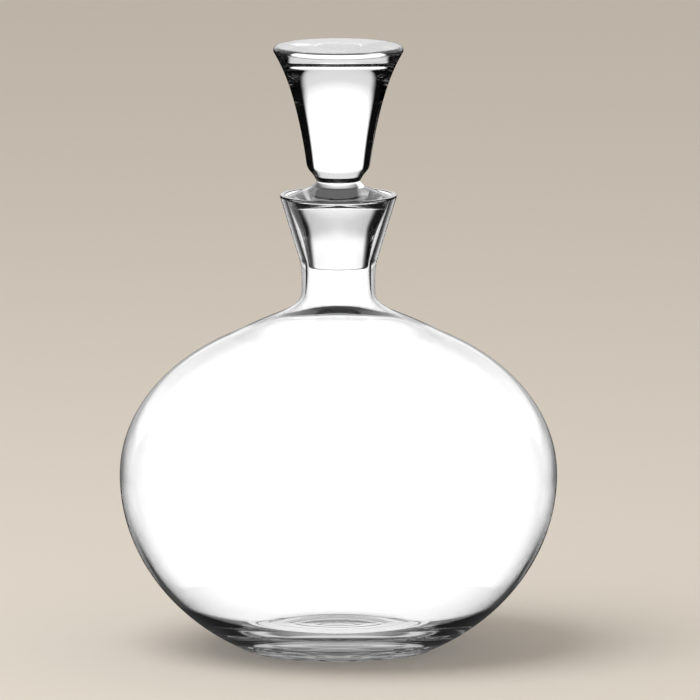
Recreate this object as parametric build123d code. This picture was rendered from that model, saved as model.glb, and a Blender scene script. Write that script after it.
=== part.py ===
from build123d import *
import math
import os

# A glass wine decanter: a squashed-sphere bulb with a waisted neck and a funnel collar, and a solid stopper.
# Millimetres. The decanter stands on Z = 0 with its axis of revolution along +Z, and every outline is drawn
# as (radius, height) on the XZ plane and revolved about that axis.

# Bulb, outside: two half ellipses that share the widest circle
BULB_RADIUS = 85.0
BULB_WIDEST_Z = 68.4
BULB_DROP = 75.5
BULB_RISE = 62.6

# Bulb, inside: thin at the widest circle, a little thicker towards the shoulder and the base
WALL_AT_WIDEST = 1.6
CAVITY_RADIUS = BULB_RADIUS - WALL_AT_WIDEST
CAVITY_DROP = 73.4
CAVITY_RISE = 60.3

# Base: a flat floor inside, whose edge sweeps up into the cavity's side, and a foot ring round a shallow domed
# recess underneath
FLOOR_Z = 7.6
FLOOR_RADIUS = 33.0
FLOOR_EDGE_Z = 20.5
FOOT_RING_INNER_RADIUS = 32.6
FOOT_STEP = 0.7
RECESS_RISE = 1.1
FOOT_EDGE_RADIUS = 0.8

# Neck: it leaves the bulb's ellipse at the shoulder. Each row is a circle on the way up to the waist: its outside
# radius, its height, its outward normal's angle up from the horizontal, and the wall behind it along that normal.
# The wall thins where the shoulder runs into the neck.
SHOULDER_RADIUS = 44.0
NECK = [
    (33.0, 127.25, 65.5, 2.15),
    (24.0, 131.15, 66.5, 1.3),
    (18.2, 134.0, 54.5, 1.25),
    (15.1, 137.0, 28.5, 1.5),
    (14.25, 142.5, 2.0, 2.0),
]

# Collar: a straight funnel above the neck, up to the rim
COLLAR_FOOT_RADIUS = 15.25
COLLAR_FOOT_Z = 153.0
RIM_RADIUS = 22.9
RIM_Z = 178.0
COLLAR_WALL = 2.5
RIM_WALL = 2.15
RIM_EDGE_RADIUS = 0.45

# Stopper head: a flat top disc with a round lip over a trumpet-shaped side.
# A lean is the radius that a side loses in one millimetre of drop.
STOPPER_TOP_Z = 236.1
LIP_RADIUS = 1.6
HEAD_RADIUS = 25.3
HEAD_FLARE_ANGLE = 31.0
HEAD_MIDDLE = (16.1, 209.9)
HEAD_FOOT = (12.2, 188.7)
HEAD_FOOT_LEAN = 0.13
HEAD_FOOT_ROUNDING = 5.0

# Stopper stem and plug: a short hollowed stem, a sloping shoulder and a flared plug that seats at the rim
STEM_TOP = (9.4, 185.3)
STEM_WAIST = (9.2, 183.2)
STEM_FOOT = (9.9, 181.3)
SEAT_CLEARANCE = 0.08
SEAT_Z = RIM_Z - 0.9
SEAT_LEAN = 0.34
PLUG_MIDDLE = (14.8, 163.5)
PLUG_FOOT_RADIUS = 11.5
PLUG_FOOT_Z = 149.9
PLUG_FOOT_LEAN = 0.2
PLUG_EDGE_RADIUS = 0.9


def ellipse_point(side_radius, height_radius, centre_z, angle):
    """The point of an ellipse centred on the axis, at an angle in degrees up from its widest circle."""
    turn = math.radians(angle)
    return side_radius * math.cos(turn), centre_z + height_radius * math.sin(turn)


def angle_at_height(height_radius, centre_z, z):
    """The angle of ellipse_point at a height."""
    return math.degrees(math.asin((z - centre_z) / height_radius))


def angle_at_radius(side_radius, radius):
    """The angle of ellipse_point at a distance from the axis, above the widest circle."""
    return math.degrees(math.acos(radius / side_radius))


def ellipse_arc(side_radius, height_radius, start_angle, end_angle):
    """The part of a bulb ellipse between two angles."""
    return EllipticalCenterArc(
        (0, BULB_WIDEST_Z),
        side_radius,
        height_radius,
        start_angle=start_angle,
        arc_size=end_angle - start_angle,
    )


def revolve_outline(edges):
    """The solid that a closed outline on the XZ plane sweeps round the axis."""
    outline = Plane.XZ * make_face(edges)
    return revolve(outline, Axis.Z)


def round_circle(solid, radius, z, edge_radius):
    """The solid with its circular edge at this radius and height rounded."""
    corner = Vector(radius, 0, z)
    circles = solid.edges().filter_by(GeomType.CIRCLE)
    nearest = min(circles, key=lambda edge: edge.distance_to(corner))
    return fillet(nearest, edge_radius)


def collar_outer_radius(z):
    """The collar's straight outside, between its foot and the rim."""
    share = (z - COLLAR_FOOT_Z) / (RIM_Z - COLLAR_FOOT_Z)
    return COLLAR_FOOT_RADIUS + share * (RIM_RADIUS - COLLAR_FOOT_RADIUS)


def collar_inner_radius(z):
    """The collar's straight inside, whose wall thins a little towards the rim."""
    share = (z - COLLAR_FOOT_Z) / (RIM_Z - COLLAR_FOOT_Z)
    wall = COLLAR_WALL + share * (RIM_WALL - COLLAR_WALL)
    return collar_outer_radius(z) - wall


def move_inwards(point, distance, normal_angle):
    """A point of an outline moved into the glass, against the outward normal's angle from the horizontal."""
    turn = math.radians(normal_angle)
    return point[0] - distance * math.cos(turn), point[1] - distance * math.sin(turn)


def neck_curve(side_radius, height_radius, inside, collar_radius, rim_radius):
    """One side of the neck: it leaves the bulb's ellipse, draws in to the waist and opens into the collar."""
    angle = angle_at_radius(side_radius, SHOULDER_RADIUS)
    start = ellipse_point(side_radius, height_radius, BULB_WIDEST_Z, angle)
    turn = math.radians(angle)
    leave = (-side_radius * math.sin(turn), height_radius * math.cos(turn))
    way = [
        move_inwards((radius, z), wall if inside else 0, normal_angle)
        for radius, z, normal_angle, wall in NECK
    ]
    collar_direction = (rim_radius - collar_radius, RIM_Z - COLLAR_FOOT_Z)
    return Spline(
        start, *way, (collar_radius, COLLAR_FOOT_Z), tangents=(leave, collar_direction)
    )


def make_vessel():
    """The blown vessel, one piece of glass from its foot ring to the collar's rim."""
    base_angle = angle_at_height(BULB_DROP, BULB_WIDEST_Z, 0)
    base_radius, _ = ellipse_point(BULB_RADIUS, BULB_DROP, BULB_WIDEST_Z, base_angle)
    edge_angle = angle_at_height(CAVITY_DROP, BULB_WIDEST_Z, FLOOR_EDGE_Z)
    edge = ellipse_point(CAVITY_RADIUS, CAVITY_DROP, BULB_WIDEST_Z, edge_angle)
    edge_turn = math.radians(edge_angle)
    down_the_side = (
        CAVITY_RADIUS * math.sin(edge_turn),
        -CAVITY_DROP * math.cos(edge_turn),
    )
    shoulder_angle = angle_at_radius(BULB_RADIUS, SHOULDER_RADIUS)
    cavity_angle = angle_at_radius(CAVITY_RADIUS, SHOULDER_RADIUS)
    inner_collar_radius = collar_inner_radius(COLLAR_FOOT_Z)
    inner_rim_radius = collar_inner_radius(RIM_Z)

    outside = [
        ellipse_arc(BULB_RADIUS, BULB_DROP, base_angle, 0),
        ellipse_arc(BULB_RADIUS, BULB_RISE, 0, shoulder_angle),
        neck_curve(BULB_RADIUS, BULB_RISE, False, COLLAR_FOOT_RADIUS, RIM_RADIUS),
        Line((COLLAR_FOOT_RADIUS, COLLAR_FOOT_Z), (RIM_RADIUS, RIM_Z)),
        Line((RIM_RADIUS, RIM_Z), (inner_rim_radius, RIM_Z)),
    ]
    inside = [
        Line((inner_rim_radius, RIM_Z), (inner_collar_radius, COLLAR_FOOT_Z)),
        neck_curve(CAVITY_RADIUS, CAVITY_RISE, True, inner_collar_radius, inner_rim_radius),
        ellipse_arc(CAVITY_RADIUS, CAVITY_RISE, 0, cavity_angle),
        ellipse_arc(CAVITY_RADIUS, CAVITY_DROP, edge_angle, 0),
        Spline(edge, (FLOOR_RADIUS, FLOOR_Z), tangents=(down_the_side, (-1, 0))),
        Line((FLOOR_RADIUS, FLOOR_Z), (0, FLOOR_Z)),
    ]
    recess_radius = FOOT_RING_INNER_RADIUS - FOOT_STEP
    underside = [
        Line((0, FLOOR_Z), (0, RECESS_RISE)),
        TangentArc((0, RECESS_RISE), (recess_radius, FOOT_STEP), tangent=(1, 0)),
        Line((recess_radius, FOOT_STEP), (FOOT_RING_INNER_RADIUS, 0)),
        Line((FOOT_RING_INNER_RADIUS, 0), (base_radius, 0)),
    ]
    vessel = revolve_outline(outside + inside + underside)
    vessel = round_circle(vessel, base_radius, 0, FOOT_EDGE_RADIUS)
    vessel = round_circle(vessel, RIM_RADIUS, RIM_Z, RIM_EDGE_RADIUS)
    vessel = round_circle(vessel, inner_rim_radius, RIM_Z, RIM_EDGE_RADIUS)
    return vessel


def make_stopper():
    """The solid stopper, one piece of glass from its top disc to the foot of its plug."""
    lip_centre_radius = HEAD_RADIUS - LIP_RADIUS
    lip_centre_z = STOPPER_TOP_Z - LIP_RADIUS
    lip_widest = (HEAD_RADIUS, lip_centre_z)
    flare = math.radians(HEAD_FLARE_ANGLE)
    lip_end = (
        lip_centre_radius + LIP_RADIUS * math.cos(flare),
        lip_centre_z - LIP_RADIUS * math.sin(flare),
    )
    seat_radius = collar_inner_radius(SEAT_Z) - SEAT_CLEARANCE

    outline = [
        Line((0, STOPPER_TOP_Z), (lip_centre_radius, STOPPER_TOP_Z)),
        ThreePointArc((lip_centre_radius, STOPPER_TOP_Z), lip_widest, lip_end),
        Spline(
            lip_end,
            HEAD_MIDDLE,
            HEAD_FOOT,
            tangents=((-math.tan(flare), -1), (-HEAD_FOOT_LEAN, -1)),
        ),
        Line(HEAD_FOOT, STEM_TOP),
        ThreePointArc(STEM_TOP, STEM_WAIST, STEM_FOOT),
        Line(STEM_FOOT, (seat_radius, SEAT_Z)),
        Spline(
            (seat_radius, SEAT_Z),
            PLUG_MIDDLE,
            (PLUG_FOOT_RADIUS, PLUG_FOOT_Z),
            tangents=((-SEAT_LEAN, -1), (-PLUG_FOOT_LEAN, -1)),
        ),
        Line((PLUG_FOOT_RADIUS, PLUG_FOOT_Z), (0, PLUG_FOOT_Z)),
        Line((0, PLUG_FOOT_Z), (0, STOPPER_TOP_Z)),
    ]
    stopper = revolve_outline(outline)
    stopper = round_circle(stopper, *HEAD_FOOT, HEAD_FOOT_ROUNDING)
    return round_circle(stopper, PLUG_FOOT_RADIUS, PLUG_FOOT_Z, PLUG_EDGE_RADIUS)


os.makedirs("parts", exist_ok=True)
export_step(make_vessel(), "parts/decanter_vessel.step")
export_step(make_stopper(), "parts/stopper.step")
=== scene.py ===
import math
from typing import NamedTuple

import bpy
import numpy as np
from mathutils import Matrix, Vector


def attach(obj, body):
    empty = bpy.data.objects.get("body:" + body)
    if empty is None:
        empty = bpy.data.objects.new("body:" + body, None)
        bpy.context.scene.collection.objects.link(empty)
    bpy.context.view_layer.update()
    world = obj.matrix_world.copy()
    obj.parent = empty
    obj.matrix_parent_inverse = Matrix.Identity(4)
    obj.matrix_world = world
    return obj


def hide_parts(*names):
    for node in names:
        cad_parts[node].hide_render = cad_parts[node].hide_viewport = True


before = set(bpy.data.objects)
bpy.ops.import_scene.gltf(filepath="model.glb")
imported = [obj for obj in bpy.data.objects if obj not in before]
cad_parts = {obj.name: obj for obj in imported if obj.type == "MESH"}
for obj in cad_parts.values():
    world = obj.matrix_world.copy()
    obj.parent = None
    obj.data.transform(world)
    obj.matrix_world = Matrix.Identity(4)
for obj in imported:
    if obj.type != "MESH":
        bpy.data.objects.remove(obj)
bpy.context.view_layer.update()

MM = 0.001

# ---------------------------------------------------------------- the glass outlines, in millimetres
# Each outline is a list of (radius, height) pairs that is turned about the decanter's axis. A point is at most a
# STEP from the next.

STEP = 0.5
RING_SEGMENTS = 384
ARC_SAMPLES = 2001
CIRCLE_SAMPLES = 201
CURVE_SAMPLES = 401
RECESS_SAMPLES = 101
CORNER_SAMPLES = 9

# Bulb, outside and inside: two half ellipses each that share the widest circle
BULB_RADIUS = 85.0
BULB_WIDEST_Z = 68.4
BULB_DROP = 75.5
BULB_RISE = 62.6
CAVITY_RADIUS = 83.4
CAVITY_DROP = 73.4
CAVITY_RISE = 60.3

# Base: a flat floor inside, and a foot ring round a shallow domed recess underneath
FLOOR_Z = 7.6
FLOOR_RADIUS = 33.0
FLOOR_EDGE_Z = 20.5
FOOT_RING_INNER_RADIUS = 32.6
FOOT_STEP = 0.7
RECESS_RISE = 1.1

# Faint rings in the floor: height, length from ring to ring, and the wave's start in radians
RIPPLES = [(0.05, 7.3, 0.0), (0.03, 4.1, 1.0), (0.02, 2.9, 2.2)]
RIPPLE_EDGE = 32.0
RIPPLE_FADE = 5.0

# Neck, outside, up from the shoulder to the waist: radius, height, angle of the outward normal up from the
# horizontal, and the thickness of the wall behind it
SHOULDER_RADIUS = 44.0
NECK = [
    (33.0, 127.25, 65.5, 2.15),
    (24.0, 131.15, 66.5, 1.3),
    (18.2, 134.0, 54.5, 1.25),
    (15.1, 137.0, 28.5, 1.5),
    (14.25, 142.5, 2.0, 2.0),
]

# Collar: a straight funnel up to the rim
COLLAR_FOOT_RADIUS = 15.25
COLLAR_FOOT_Z = 153.0
RIM_RADIUS = 22.9
RIM_Z = 178.0
COLLAR_WALL = 2.5
RIM_WALL = 2.15

# Stopper head: a flat top disc with a round lip over a trumpet-shaped side
STOPPER_TOP_Z = 236.1
LIP_RADIUS = 1.6
HEAD_RADIUS = 25.3
HEAD_FLARE_ANGLE = 31.0
HEAD_MIDDLE = (16.1, 209.9)
HEAD_FOOT = (12.2, 188.7)
HEAD_FOOT_LEAN = 0.13

# Stopper stem and plug
STEM_TOP = (9.4, 185.3)
STEM_WAIST = (9.2, 183.2)
STEM_FOOT = (9.9, 181.3)
SEAT_CLEARANCE = 0.08
SEAT_Z = RIM_Z - 0.9
SEAT_LEAN = 0.34
PLUG_MIDDLE = (14.8, 163.5)
PLUG_FOOT_RADIUS = 11.5
PLUG_FOOT_Z = 149.9
PLUG_FOOT_LEAN = 0.2

# How far a rounded corner reaches along each side of the outline
SMOOTH = 0
RECESS_CORNER = 0.2
FOOT_CORNER = 0.9
RIM_CORNER = 0.5
HEAD_FOOT_CORNER = 1.6
STEM_TOP_CORNER = 0.7
STEM_FOOT_CORNER = 0.4
SEAT_CORNER = 0.3
PLUG_CORNER = 0.9


def resample(points):
    """Points evenly along a polyline, at most a STEP apart, with its ends kept."""
    points = np.asarray(points, float)
    along = np.concatenate([[0], np.cumsum(np.linalg.norm(np.diff(points, axis=0), axis=1))])
    count = max(2, math.ceil(along[-1] / STEP) + 1)
    places = np.linspace(0, along[-1], count)
    return np.column_stack([np.interp(places, along, points[:, k]) for k in (0, 1)])


def line(start, end):
    """A straight run."""
    return resample([start, end])


def arc(centre, side_radius, height_radius, start_angle, end_angle):
    """Part of an ellipse, between two angles in degrees up from its widest point."""
    turn = np.radians(np.linspace(start_angle, end_angle, ARC_SAMPLES))
    points = np.column_stack(
        [centre[0] + side_radius * np.cos(turn), centre[1] + height_radius * np.sin(turn)]
    )
    return resample(points)


def arc_through(start, middle, end):
    """The circle's arc through three points."""
    a, b, c = (complex(*point) for point in (start, middle, end))
    w = (c - a) / (b - a)
    centre = (a - b) * (w - abs(w) ** 2) / (2j * w.imag) + a
    first, last = np.angle(a - centre), np.angle(c - centre)
    sweep = (last - first + math.pi) % (2 * math.pi) - math.pi
    angles = first + np.linspace(0, sweep, CIRCLE_SAMPLES)
    turned = centre + abs(a - centre) * np.exp(1j * angles)
    return resample(np.column_stack([turned.real, turned.imag]))


def smooth_curve(points, start_direction, end_direction):
    """A curve through points with even curvature, that leaves and arrives in given directions."""
    points = np.asarray(points, float)
    gaps = np.linalg.norm(np.diff(points, axis=0), axis=1)
    n = len(points)
    matrix, right = np.zeros((n, n)), np.zeros((n, 2))
    matrix[0, 0] = matrix[-1, -1] = 1
    right[0] = np.asarray(start_direction) / np.linalg.norm(start_direction)
    right[-1] = np.asarray(end_direction) / np.linalg.norm(end_direction)
    for i in range(1, n - 1):
        before, after = gaps[i - 1], gaps[i]
        matrix[i, i - 1 : i + 2] = after, 2 * (before + after), before
        slope_before = (points[i] - points[i - 1]) / before
        slope_after = (points[i + 1] - points[i]) / after
        right[i] = 3 * (after * slope_before + before * slope_after)
    slopes = np.linalg.solve(matrix, right)
    out = [points[:1]]
    t = np.linspace(0, 1, CURVE_SAMPLES)[1:, None]
    for i, gap in enumerate(gaps):
        out.append(
            (2 * t**3 - 3 * t**2 + 1) * points[i]
            + (t**3 - 2 * t**2 + t) * gap * slopes[i]
            + (3 * t**2 - 2 * t**3) * points[i + 1]
            + (t**3 - t**2) * gap * slopes[i + 1]
        )
    return resample(np.concatenate(out))


def cut_back(points, distance, at_end):
    """A polyline with a length taken off one end."""
    points = points if at_end else points[::-1]
    along = np.cumsum(np.linalg.norm(np.diff(points[::-1], axis=0), axis=1))
    gone = int(np.searchsorted(along, distance)) + 1
    before, after = points[-gone], points[-gone - 1]
    rest = distance - (along[gone - 2] if gone > 1 else 0)
    corner = before + (after - before) * rest / np.linalg.norm(after - before)
    kept = np.concatenate([points[:-gone], [corner]])
    return kept if at_end else kept[::-1]


def join(runs):
    """One outline from runs that meet end to end. With each run goes the rounding of the corner before it."""
    out = runs[0][1]
    for size, run in runs[1:]:
        if size > 0:
            corner = out[-1]
            out = cut_back(out, size, True)
            run = cut_back(run, size, False)
            t = np.linspace(0, 1, CORNER_SAMPLES)[1:-1, None]
            bend = (1 - t) ** 2 * out[-1] + 2 * t * (1 - t) * corner + t**2 * run[0]
            out = np.concatenate([out, bend, run])
        else:
            out = np.concatenate([out, run[1:]])
    return out


def collar_outer_radius(z):
    """The collar's straight outside, between its foot and the rim."""
    share = (z - COLLAR_FOOT_Z) / (RIM_Z - COLLAR_FOOT_Z)
    return COLLAR_FOOT_RADIUS + share * (RIM_RADIUS - COLLAR_FOOT_RADIUS)


def collar_inner_radius(z):
    """The collar's straight inside, whose wall thins a little towards the rim."""
    share = (z - COLLAR_FOOT_Z) / (RIM_Z - COLLAR_FOOT_Z)
    return collar_outer_radius(z) - COLLAR_WALL - share * (RIM_WALL - COLLAR_WALL)


def move_inwards(point, distance, normal_angle):
    """A point of an outline moved into the glass, against the outward normal's angle from the horizontal."""
    turn = math.radians(normal_angle)
    return point[0] - distance * math.cos(turn), point[1] - distance * math.sin(turn)


def neck_curve(side_radius, height_radius, inside, collar_radius, rim_radius):
    """One side of the neck: it leaves the bulb's ellipse, draws in to the waist and opens into the collar."""
    angle = math.acos(SHOULDER_RADIUS / side_radius)
    start = (SHOULDER_RADIUS, BULB_WIDEST_Z + height_radius * math.sin(angle))
    way = [
        move_inwards((radius, z), wall if inside else 0, normal_angle)
        for radius, z, normal_angle, wall in NECK
    ]
    return smooth_curve(
        [start, *way, (collar_radius, COLLAR_FOOT_Z)],
        (-side_radius * math.sin(angle), height_radius * math.cos(angle)),
        (rim_radius - collar_radius, RIM_Z - COLLAR_FOOT_Z),
    )


def rippled_floor():
    """The cavity's flat floor, with faint rings left from forming that fade out before its edge."""
    points = line((FLOOR_RADIUS, FLOOR_Z), (0, FLOOR_Z))
    radius = points[:, 0]
    fade_out = np.clip((RIPPLE_EDGE - radius) / RIPPLE_FADE, 0, 1)
    fade_in = np.clip(radius / RIPPLE_FADE, 0, 1)
    wave = sum(
        height * np.cos(2 * math.pi * radius / length + start) for height, length, start in RIPPLES
    )
    points[:, 1] += wave * fade_out * fade_in
    return points


def recess_dome(recess_radius):
    """The shallow dome underneath, out from the axis."""
    out = np.linspace(0, 1, RECESS_SAMPLES)
    heights = RECESS_RISE + (FOOT_STEP - RECESS_RISE) * out**2
    return resample(np.column_stack([out * recess_radius, heights]))


def vessel_outline():
    """The vessel's outline: up the outside from the recess to the rim, and down the inside to the floor."""
    centre = (0, BULB_WIDEST_Z)
    base_angle = math.degrees(math.asin(-BULB_WIDEST_Z / BULB_DROP))
    base_radius = BULB_RADIUS * math.cos(math.radians(base_angle))
    edge_angle = math.asin((FLOOR_EDGE_Z - BULB_WIDEST_Z) / CAVITY_DROP)
    edge = (CAVITY_RADIUS * math.cos(edge_angle), FLOOR_EDGE_Z)
    edge_direction = (CAVITY_RADIUS * math.sin(edge_angle), -CAVITY_DROP * math.cos(edge_angle))
    shoulder = math.degrees(math.acos(SHOULDER_RADIUS / BULB_RADIUS))
    cavity_shoulder = math.degrees(math.acos(SHOULDER_RADIUS / CAVITY_RADIUS))
    inner_foot = collar_inner_radius(COLLAR_FOOT_Z)
    inner_rim = collar_inner_radius(RIM_Z)
    recess_radius = FOOT_RING_INNER_RADIUS - FOOT_STEP
    neck = neck_curve(BULB_RADIUS, BULB_RISE, False, COLLAR_FOOT_RADIUS, RIM_RADIUS)
    inner_neck = neck_curve(CAVITY_RADIUS, CAVITY_RISE, True, inner_foot, inner_rim)
    return join([
        (SMOOTH, recess_dome(recess_radius)),
        (RECESS_CORNER, line((recess_radius, FOOT_STEP), (FOOT_RING_INNER_RADIUS, 0))),
        (RECESS_CORNER, line((FOOT_RING_INNER_RADIUS, 0), (base_radius, 0))),
        (FOOT_CORNER, arc(centre, BULB_RADIUS, BULB_DROP, base_angle, 0)),
        (SMOOTH, arc(centre, BULB_RADIUS, BULB_RISE, 0, shoulder)),
        (SMOOTH, neck),
        (SMOOTH, line((COLLAR_FOOT_RADIUS, COLLAR_FOOT_Z), (RIM_RADIUS, RIM_Z))),
        (RIM_CORNER, line((RIM_RADIUS, RIM_Z), (inner_rim, RIM_Z))),
        (RIM_CORNER, line((inner_rim, RIM_Z), (inner_foot, COLLAR_FOOT_Z))),
        (SMOOTH, inner_neck[::-1]),
        (SMOOTH, arc(centre, CAVITY_RADIUS, CAVITY_RISE, cavity_shoulder, 0)),
        (SMOOTH, arc(centre, CAVITY_RADIUS, CAVITY_DROP, 0, math.degrees(edge_angle))),
        (SMOOTH, smooth_curve([edge, (FLOOR_RADIUS, FLOOR_Z)], edge_direction, (-1, 0))),
        (SMOOTH, rippled_floor()),
    ])


def stopper_outline():
    """The stopper's outline, up from the foot of its plug to the top disc."""
    lip_centre = (HEAD_RADIUS - LIP_RADIUS, STOPPER_TOP_Z - LIP_RADIUS)
    flare = math.radians(HEAD_FLARE_ANGLE)
    lip_end = (
        lip_centre[0] + LIP_RADIUS * math.cos(flare),
        lip_centre[1] - LIP_RADIUS * math.sin(flare),
    )
    seat = (collar_inner_radius(SEAT_Z) - SEAT_CLEARANCE, SEAT_Z)
    plug_foot = (PLUG_FOOT_RADIUS, PLUG_FOOT_Z)
    head_side = smooth_curve(
        [lip_end, HEAD_MIDDLE, HEAD_FOOT], (-math.tan(flare), -1), (-HEAD_FOOT_LEAN, -1)
    )
    plug_side = smooth_curve([seat, PLUG_MIDDLE, plug_foot], (-SEAT_LEAN, -1), (-PLUG_FOOT_LEAN, -1))
    downwards = join([
        (SMOOTH, line((0, STOPPER_TOP_Z), (lip_centre[0], STOPPER_TOP_Z))),
        (SMOOTH, arc(lip_centre, LIP_RADIUS, LIP_RADIUS, 90, -HEAD_FLARE_ANGLE)),
        (SMOOTH, head_side),
        (HEAD_FOOT_CORNER, line(HEAD_FOOT, STEM_TOP)),
        (STEM_TOP_CORNER, arc_through(STEM_TOP, STEM_WAIST, STEM_FOOT)),
        (STEM_FOOT_CORNER, line(STEM_FOOT, seat)),
        (SEAT_CORNER, plug_side),
        (PLUG_CORNER, line(plug_foot, (0, PLUG_FOOT_Z))),
    ])
    return downwards[::-1]


def turned_mesh(name, outline):
    """A closed mesh of an outline, from the axis back to the axis, turned about Z."""
    ring = 2 * math.pi * np.arange(RING_SEGMENTS) / RING_SEGMENTS
    off_axis = outline[1:-1] * MM
    rings = np.empty((len(off_axis), RING_SEGMENTS, 3))
    rings[:, :, 0] = off_axis[:, :1] * np.cos(ring)
    rings[:, :, 1] = off_axis[:, :1] * np.sin(ring)
    rings[:, :, 2] = off_axis[:, 1:]
    first_pole = len(off_axis) * RING_SEGMENTS
    last_pole = first_pole + 1
    last_ring = first_pole - RING_SEGMENTS
    poles = [(0, 0, outline[0][1] * MM), (0, 0, outline[-1][1] * MM)]
    verts = [tuple(vert) for vert in rings.reshape(-1, 3)] + poles
    faces = []
    for a in range(0, last_ring, RING_SEGMENTS):
        b = a + RING_SEGMENTS
        for k in range(RING_SEGMENTS):
            m = (k + 1) % RING_SEGMENTS
            faces.append((a + k, a + m, b + m, b + k))
    for k in range(RING_SEGMENTS):
        m = (k + 1) % RING_SEGMENTS
        faces.append((first_pole, m, k))
        faces.append((last_pole, last_ring + k, last_ring + m))
    mesh = bpy.data.meshes.new(name)
    mesh.from_pydata(verts, [], faces)
    mesh.validate()
    mesh.shade_smooth()
    piece = bpy.data.objects.new(name, mesh)
    bpy.context.scene.collection.objects.link(piece)
    return piece


# ---------------------------------------------------------------- materials

GLASS_IOR = 1.52
BUMP_DEPTH = 0.0003
BLOWN_WAVES = (35, 35, 35)
BLOWN_BUMP = 0.12
SOLID_WAVES = (260, 260, 18)
SOLID_BUMP = 0.06
WHITE = (1, 1, 1, 1)


def new_material(name):
    """An empty node material, with its nodes and links."""
    material = bpy.data.materials.new(name)
    material.use_nodes = True
    material.node_tree.nodes.clear()
    return material, material.node_tree.nodes, material.node_tree.links


def glass_material(name, waves_per_metre, strength):
    """Clear glass whose surface keeps a faint unevenness from forming."""
    material, nodes, links = new_material(name)
    output = nodes.new("ShaderNodeOutputMaterial")
    shader = nodes.new("ShaderNodeBsdfPrincipled")
    shader.inputs["Base Color"].default_value = WHITE
    shader.inputs["Roughness"].default_value = 0.0
    shader.inputs["IOR"].default_value = GLASS_IOR
    shader.inputs["Transmission Weight"].default_value = 1.0
    place = nodes.new("ShaderNodeTexCoord")
    stretch = nodes.new("ShaderNodeMapping")
    stretch.inputs["Scale"].default_value = waves_per_metre
    noise = nodes.new("ShaderNodeTexNoise")
    noise.inputs["Scale"].default_value = 1.0
    noise.inputs["Detail"].default_value = 1.0
    bump = nodes.new("ShaderNodeBump")
    bump.inputs["Strength"].default_value = strength
    bump.inputs["Distance"].default_value = BUMP_DEPTH
    links.new(place.outputs["Object"], stretch.inputs["Vector"])
    links.new(stretch.outputs["Vector"], noise.inputs["Vector"])
    links.new(noise.outputs["Fac"], bump.inputs["Height"])
    links.new(bump.outputs["Normal"], shader.inputs["Normal"])
    links.new(shader.outputs["BSDF"], output.inputs["Surface"])
    return material


# ---------------------------------------------------------------- the pieces

vessel = turned_mesh("glass_vessel", vessel_outline())
vessel.data.materials.append(glass_material("clear_glass", BLOWN_WAVES, BLOWN_BUMP))
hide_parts("decanter_vessel")
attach(vessel, "vessel")

stopper = turned_mesh("glass_stopper", stopper_outline())
stopper.data.materials.append(glass_material("solid_glass", SOLID_WAVES, SOLID_BUMP))
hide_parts("stopper")
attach(stopper, "stopper")


# ---------------------------------------------------------------- stage: floor, light and camera

CAMERA_DISTANCE = 8.0
CAMERA_ELEVATION = 8.1
CAMERA_AIM = Vector((0.0045, 0, 0.117))
FRAME_WIDTH = 0.2719
SENSOR_WIDTH = 36.0
CLIP_END = 100

ROOM_COLOUR = (0.72, 0.68, 0.62, 1)
FLOOR_COLOUR = (0.62, 0.58, 0.53, 1)
FLOOR_HALF = 30.0
FLOOR_Z_METRES = -0.00005
SOFTBOX_PLACE = (-0.6, -0.4, 1.6)
SOFTBOX_SIZE = 1.4
SOFTBOX_POWER = 18

MAX_BOUNCES = 24
GLOSSY_BOUNCES = 12
TRANSMISSION_BOUNCES = 16

# White panels stand round the glass, and a white disc lies under it. Only rays through or off the glass see
# them. What they give a ray depends on two counts: how often it was reflected, and how many glass surfaces it
# went through. Two surfaces are the solid stopper or one wall of the vessel, and four are two walls.

DISC_RADIUS = 0.12
DISC_Z = -0.00003
DISC_SIDES = 90
DISC_GLOW = 1.35
DISC_MOST_SURFACES = 4
# The share of the disc's glow that a reflected ray gets, and the share where it was reflected at most twice and
# went through three surfaces or more
DISC_REFLECTED = 0.05
DISC_REFLECTED_BEHIND = 0.4


class Panel(NamedTuple):
    """One soft-edged panel. Its angles are in degrees: azimuth from +Y towards +X, the others up from level."""

    azimuth: float
    half_width: float
    side_fade: float
    lowest: float
    low_fade: float
    highest: float
    high_fade: float
    strength: float
    reflected_share: float  # what a reflected ray gets
    solid_share: float  # what is left unless the ray went through three to five surfaces


DARK_ROOM = 0.004
PANELS = [
    Panel(0, 40, 6, -20, 12, -5, 4, 1.25, 0.1, 1),
    Panel(0, 40, 6, -5, 4, 14, 16, 1.25, 0.25, 1),
    Panel(0, 36, 14, 12, 16, 62, 10, 0.8, 0.6, 1),
    Panel(0, 12, 10, -17, 12, 4, 12, 0.4, 0.1, 1),
    Panel(0, 400, 14, -200, 12, -30, 20, 0.16, 0.0, 1),
    Panel(-45, 18, 8, -42, 10, -18, 6, 1.35, 0.1, 0.3),
    Panel(-90, 14, 8, -25, 10, 25, 14, 1.0, 0.1, 1),
    Panel(135, 22, 8, -40, 10, 0, 10, 1.3, 0.1, 0.9),
]

# Each pair below is a fade: the angle where it is 0 and the angle where it is 1.

# Reflected off the outside: nothing from low panels, this share from the horizon, and all from higher up,
# where a soft ceiling glows as well
OUTSIDE_HORIZON = (-8, 0)
OUTSIDE_HORIZON_SHARE = 0.25
OUTSIDE_HIGH = (2, 7)
CEILING = (8, 16)
CEILING_GLOW = 0.9

# Reflected once within two surfaces: the part that keeps the panels' whole light, for all but low panels, and
# how much of that part the higher panels lose; and a weak glow from far below
SINGLE_KEPT = 0.85
SINGLE_LEVEL = (-20, -12)
SINGLE_HIGH = (-10.3, -8.3)
SINGLE_HIGH_LOSS = 0.45
SINGLE_BELOW = (-34, -42)
SINGLE_BELOW_GLOW = 0.13

# Reflected two to four times within two surfaces: the share of light that is left
INNER_SHARE = 0.05

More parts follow.
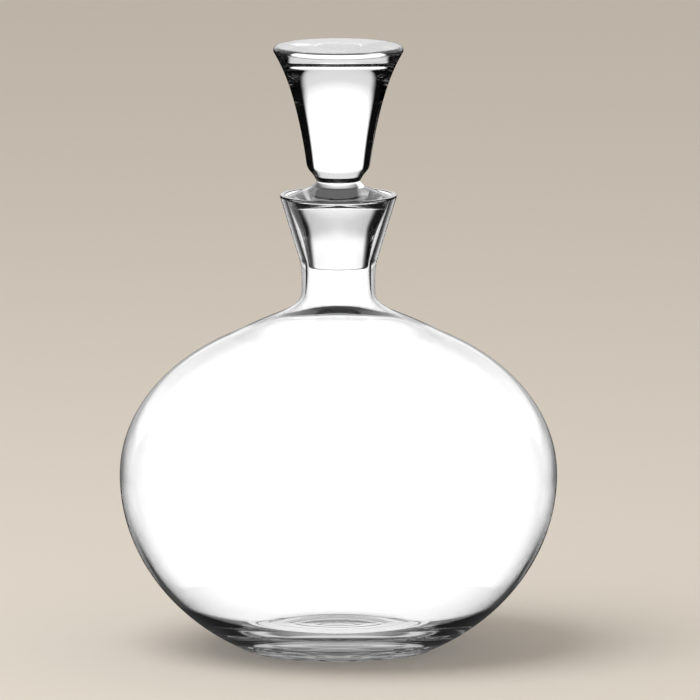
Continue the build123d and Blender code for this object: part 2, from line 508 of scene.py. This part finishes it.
# Reflected once or twice within the hollow bulb: the part that keeps the panels' whole light
HOLLOW_KEPT = 0.45

# Reflected five times or more: the share of light that is left, and none from below within two surfaces
OFTEN_SHARE = 0.6
OFTEN_SUNK = (5, -5)

# Straight through three to five surfaces: the glow behind the bulb
THROUGH_LEVEL = (-18, -10)
THROUGH_GLOW = 1.35

# Through six surfaces or more: darker beside the panels at the back, and a glow from straight below
ASIDE_INNER = (28, 38)
ASIDE_OUTER = (70, 60)
ASIDE_LEVEL = (-18, -12)
ASIDE_LOSS = 0.9
DEEP_BELOW = (-50, -60)
DEEP_GLOW = 1.3


def add_camera():
    """A long lens, a little above the decanter's middle."""
    data = bpy.data.cameras.new("camera")
    data.sensor_width = SENSOR_WIDTH
    data.lens = SENSOR_WIDTH * CAMERA_DISTANCE / FRAME_WIDTH
    data.clip_end = CLIP_END
    camera = bpy.data.objects.new("camera", data)
    turn = math.radians(CAMERA_ELEVATION)
    back = Vector((0, -math.cos(turn), math.sin(turn)))
    camera.location = CAMERA_AIM + back * CAMERA_DISTANCE
    camera.rotation_euler = (math.pi / 2 - turn, 0, 0)
    bpy.context.scene.collection.objects.link(camera)
    bpy.context.scene.camera = camera


def stage_face(name, corners, material):
    """One flat face for the stage, linked to the scene."""
    mesh = bpy.data.meshes.new(name)
    mesh.from_pydata(corners, [], [tuple(range(len(corners)))])
    mesh.materials.append(material)
    face = bpy.data.objects.new(name, mesh)
    bpy.context.scene.collection.objects.link(face)
    return face


def floor_material():
    """A plain matt floor."""
    material, nodes, links = new_material("floor")
    output = nodes.new("ShaderNodeOutputMaterial")
    diffuse = nodes.new("ShaderNodeBsdfDiffuse")
    diffuse.inputs["Color"].default_value = FLOOR_COLOUR
    links.new(diffuse.outputs[0], output.inputs["Surface"])
    return material


class LightMaths:
    """Math nodes that work out a glow from a ray's two counts and its direction."""

    def __init__(self, nodes, links):
        self.nodes, self.links = nodes, links
        self.path = nodes.new("ShaderNodeLightPath")
        self.reflections = self.path.outputs["Glossy Depth"]
        self.surfaces = self.path.outputs["Transmission Depth"]

    def node(self, operation, *values):
        node = self.nodes.new("ShaderNodeMath")
        node.operation = operation
        for socket, value in zip(node.inputs, values):
            if isinstance(value, (int, float)):
                socket.default_value = value
            else:
                self.links.new(value, socket)
        return node.outputs[0]

    def add(self, first, second):
        return self.node("ADD", first, second)

    def subtract(self, first, second):
        return self.node("SUBTRACT", first, second)

    def multiply(self, first, *others):
        for other in others:
            first = self.node("MULTIPLY", first, other)
        return first

    def without(self, part):
        """What a part of 1 leaves."""
        return self.subtract(1, part)

    def at_least(self, count, least):
        return self.node("GREATER_THAN", count, least - 0.5)

    def at_most(self, count, most):
        return self.node("LESS_THAN", count, most + 0.5)

    def counted(self, count, least, most):
        return self.multiply(self.at_least(count, least), self.at_most(count, most))

    def fade(self, value, start, end):
        """Smoothly from 0 at the start to 1 at the end, which may be the lower number."""
        node = self.nodes.new("ShaderNodeMapRange")
        node.interpolation_type = "SMOOTHSTEP"
        self.links.new(value, node.inputs["Value"])
        node.inputs["From Min"].default_value = min(start, end)
        node.inputs["From Max"].default_value = max(start, end)
        node.inputs["To Min"].default_value = 0 if start < end else 1
        node.inputs["To Max"].default_value = 1 if start < end else 0
        return node.outputs["Result"]

    def above(self, value, limit, width):
        """1 above a limit and 0 below it, with a fade of this width between."""
        return self.fade(value, limit - width / 2, limit + width / 2)

    def below(self, value, limit, width):
        """1 below a limit and 0 above it, with a fade of this width between."""
        return self.fade(value, limit + width / 2, limit - width / 2)


def disc_material():
    """The white disc's glow."""
    material, nodes, links = new_material("floor_glow")
    output = nodes.new("ShaderNodeOutputMaterial")
    emission = nodes.new("ShaderNodeEmission")
    maths = LightMaths(nodes, links)
    straight = maths.at_most(maths.reflections, 0)
    behind = maths.multiply(maths.at_most(maths.reflections, 2), maths.at_least(maths.surfaces, 3))
    share = maths.multiply(behind, DISC_REFLECTED_BEHIND - DISC_REFLECTED)
    share = maths.add(share, DISC_REFLECTED)
    share = maths.add(maths.multiply(share, maths.without(straight)), straight)
    near = maths.at_most(maths.surfaces, DISC_MOST_SURFACES)
    links.new(maths.multiply(share, near, DISC_GLOW), emission.inputs["Strength"])
    links.new(emission.outputs[0], output.inputs["Surface"])
    return material


def panel_light(maths, turn, rise):
    """What the panels give a ray, from its counts and its direction."""
    reflected = maths.at_least(maths.reflections, 1)
    outside = maths.multiply(reflected, maths.at_most(maths.surfaces, 0))
    horizon = maths.multiply(maths.fade(rise, *OUTSIDE_HORIZON), OUTSIDE_HORIZON_SHARE)
    high = maths.multiply(maths.fade(rise, *OUTSIDE_HIGH), 1 - OUTSIDE_HORIZON_SHARE)
    outside_loss = maths.multiply(outside, maths.without(maths.add(horizon, high)))

    within_two = maths.counted(maths.surfaces, 1, 2)
    inner = maths.multiply(maths.counted(maths.reflections, 2, 4), within_two)
    inner_loss = maths.multiply(inner, 1 - INNER_SHARE)
    single = maths.multiply(maths.counted(maths.reflections, 1, 1), within_two)
    single_high_loss = maths.multiply(maths.fade(rise, *SINGLE_HIGH), SINGLE_HIGH_LOSS)
    single_kept = maths.multiply(
        single, SINGLE_KEPT, maths.fade(rise, *SINGLE_LEVEL), maths.without(single_high_loss)
    )
    hollow = maths.multiply(maths.counted(maths.reflections, 1, 2), maths.counted(maths.surfaces, 3, 4))
    hollow_kept = maths.multiply(hollow, HOLLOW_KEPT)

    often = maths.at_least(maths.reflections, 5)
    sunk = maths.multiply(maths.at_most(maths.surfaces, 2), maths.fade(rise, *OFTEN_SUNK))
    often_share = maths.multiply(maths.without(sunk), OFTEN_SHARE)
    often_loss = maths.multiply(often, maths.without(often_share))

    weakened = reflected
    for other_rule in (often, outside, single_kept, hollow_kept):
        weakened = maths.subtract(weakened, other_rule)
    weakened = maths.node("MAXIMUM", weakened, 0)
    solid = maths.without(maths.counted(maths.surfaces, 3, 5))

    total = DARK_ROOM
    for panel in PANELS:
        away = maths.node("WRAP", maths.subtract(turn, panel.azimuth), 180, -180)
        away = maths.node("ABSOLUTE", away)
        glow = maths.without(maths.multiply(weakened, 1 - panel.reflected_share))
        glow = maths.subtract(glow, often_loss)
        glow = maths.multiply(
            glow,
            maths.without(maths.multiply(solid, 1 - panel.solid_share)),
            maths.below(away, panel.half_width, panel.side_fade),
            maths.above(rise, panel.lowest, panel.low_fade),
            maths.below(rise, panel.highest, panel.high_fade),
            panel.strength,
        )
        total = maths.add(total, glow)
    total = maths.multiply(total, maths.subtract(maths.without(outside_loss), inner_loss))

    many = maths.at_least(maths.surfaces, 6)
    sideways = maths.node("ABSOLUTE", turn)
    aside = maths.multiply(
        maths.fade(sideways, *ASIDE_INNER),
        maths.fade(sideways, *ASIDE_OUTER),
        maths.fade(rise, *ASIDE_LEVEL),
        many,
    )
    total = maths.multiply(total, maths.without(maths.multiply(aside, ASIDE_LOSS)))
    ceiling = maths.multiply(outside, maths.fade(rise, *CEILING), CEILING_GLOW)
    total = maths.node("MAXIMUM", total, ceiling)
    single_below = maths.multiply(single, maths.fade(rise, *SINGLE_BELOW), SINGLE_BELOW_GLOW)
    total = maths.add(total, single_below)
    through = maths.multiply(
        maths.at_most(maths.reflections, 0),
        maths.counted(maths.surfaces, 3, 5),
        maths.fade(rise, *THROUGH_LEVEL),
        THROUGH_GLOW,
    )
    total = maths.node("MAXIMUM", total, through)
    deep = maths.multiply(many, maths.fade(rise, *DEEP_BELOW), DEEP_GLOW)
    return maths.add(total, deep)


def add_world():
    """A plain room for the camera and the floor, and the panels for rays that met the glass."""
    world = bpy.data.worlds.new("world")
    bpy.context.scene.world = world
    world.use_nodes = True
    nodes, links = world.node_tree.nodes, world.node_tree.links
    nodes.clear()

    maths = LightMaths(nodes, links)
    place = nodes.new("ShaderNodeTexCoord")
    split = nodes.new("ShaderNodeSeparateXYZ")
    links.new(place.outputs["Generated"], split.inputs[0])
    x, y, z = split.outputs
    turn = maths.multiply(maths.node("ARCTAN2", x, y), math.degrees(1))
    rise = maths.multiply(maths.node("ARCSINE", z), math.degrees(1))

    panels = nodes.new("ShaderNodeBackground")
    panels.inputs["Color"].default_value = WHITE
    links.new(panel_light(maths, turn, rise), panels.inputs["Strength"])
    room = nodes.new("ShaderNodeBackground")
    room.inputs["Color"].default_value = ROOM_COLOUR
    direct = maths.node(
        "MAXIMUM", maths.path.outputs["Is Camera Ray"], maths.path.outputs["Is Diffuse Ray"]
    )
    mix = nodes.new("ShaderNodeMixShader")
    output = nodes.new("ShaderNodeOutputWorld")
    links.new(direct, mix.inputs["Fac"])
    links.new(panels.outputs[0], mix.inputs[1])
    links.new(room.outputs[0], mix.inputs[2])
    links.new(mix.outputs[0], output.inputs["Surface"])


def add_softbox():
    """A round soft light above, turned to the decanter's foot, that gives the soft shadow on the floor."""
    data = bpy.data.lights.new("softbox", "AREA")
    data.shape = "DISK"
    data.size = SOFTBOX_SIZE
    data.energy = SOFTBOX_POWER
    light = bpy.data.objects.new("softbox", data)
    light.location = SOFTBOX_PLACE
    light.rotation_euler = (-Vector(SOFTBOX_PLACE)).to_track_quat("-Z", "Y").to_euler()
    light.visible_glossy = False
    light.visible_transmission = False
    bpy.context.scene.collection.objects.link(light)


floor_corners = [
    (x * FLOOR_HALF, y * FLOOR_HALF, FLOOR_Z_METRES) for x, y in ((-1, -1), (1, -1), (1, 1), (-1, 1))
]
floor = stage_face("floor", floor_corners, floor_material())
floor.visible_glossy = False
floor.visible_transmission = False

disc_turns = [2 * math.pi * k / DISC_SIDES for k in range(DISC_SIDES)]
disc_corners = [
    (DISC_RADIUS * math.cos(turn), DISC_RADIUS * math.sin(turn), DISC_Z) for turn in disc_turns
]
disc = stage_face("floor_glow", disc_corners, disc_material())
disc.visible_camera = False
disc.visible_diffuse = False
disc.visible_shadow = False

add_world()
add_softbox()
add_camera()
bpy.context.scene.view_settings.view_transform = "Standard"
bpy.context.scene.cycles.max_bounces = MAX_BOUNCES
bpy.context.scene.cycles.glossy_bounces = GLOSSY_BOUNCES
bpy.context.scene.cycles.transmission_bounces = TRANSMISSION_BOUNCES
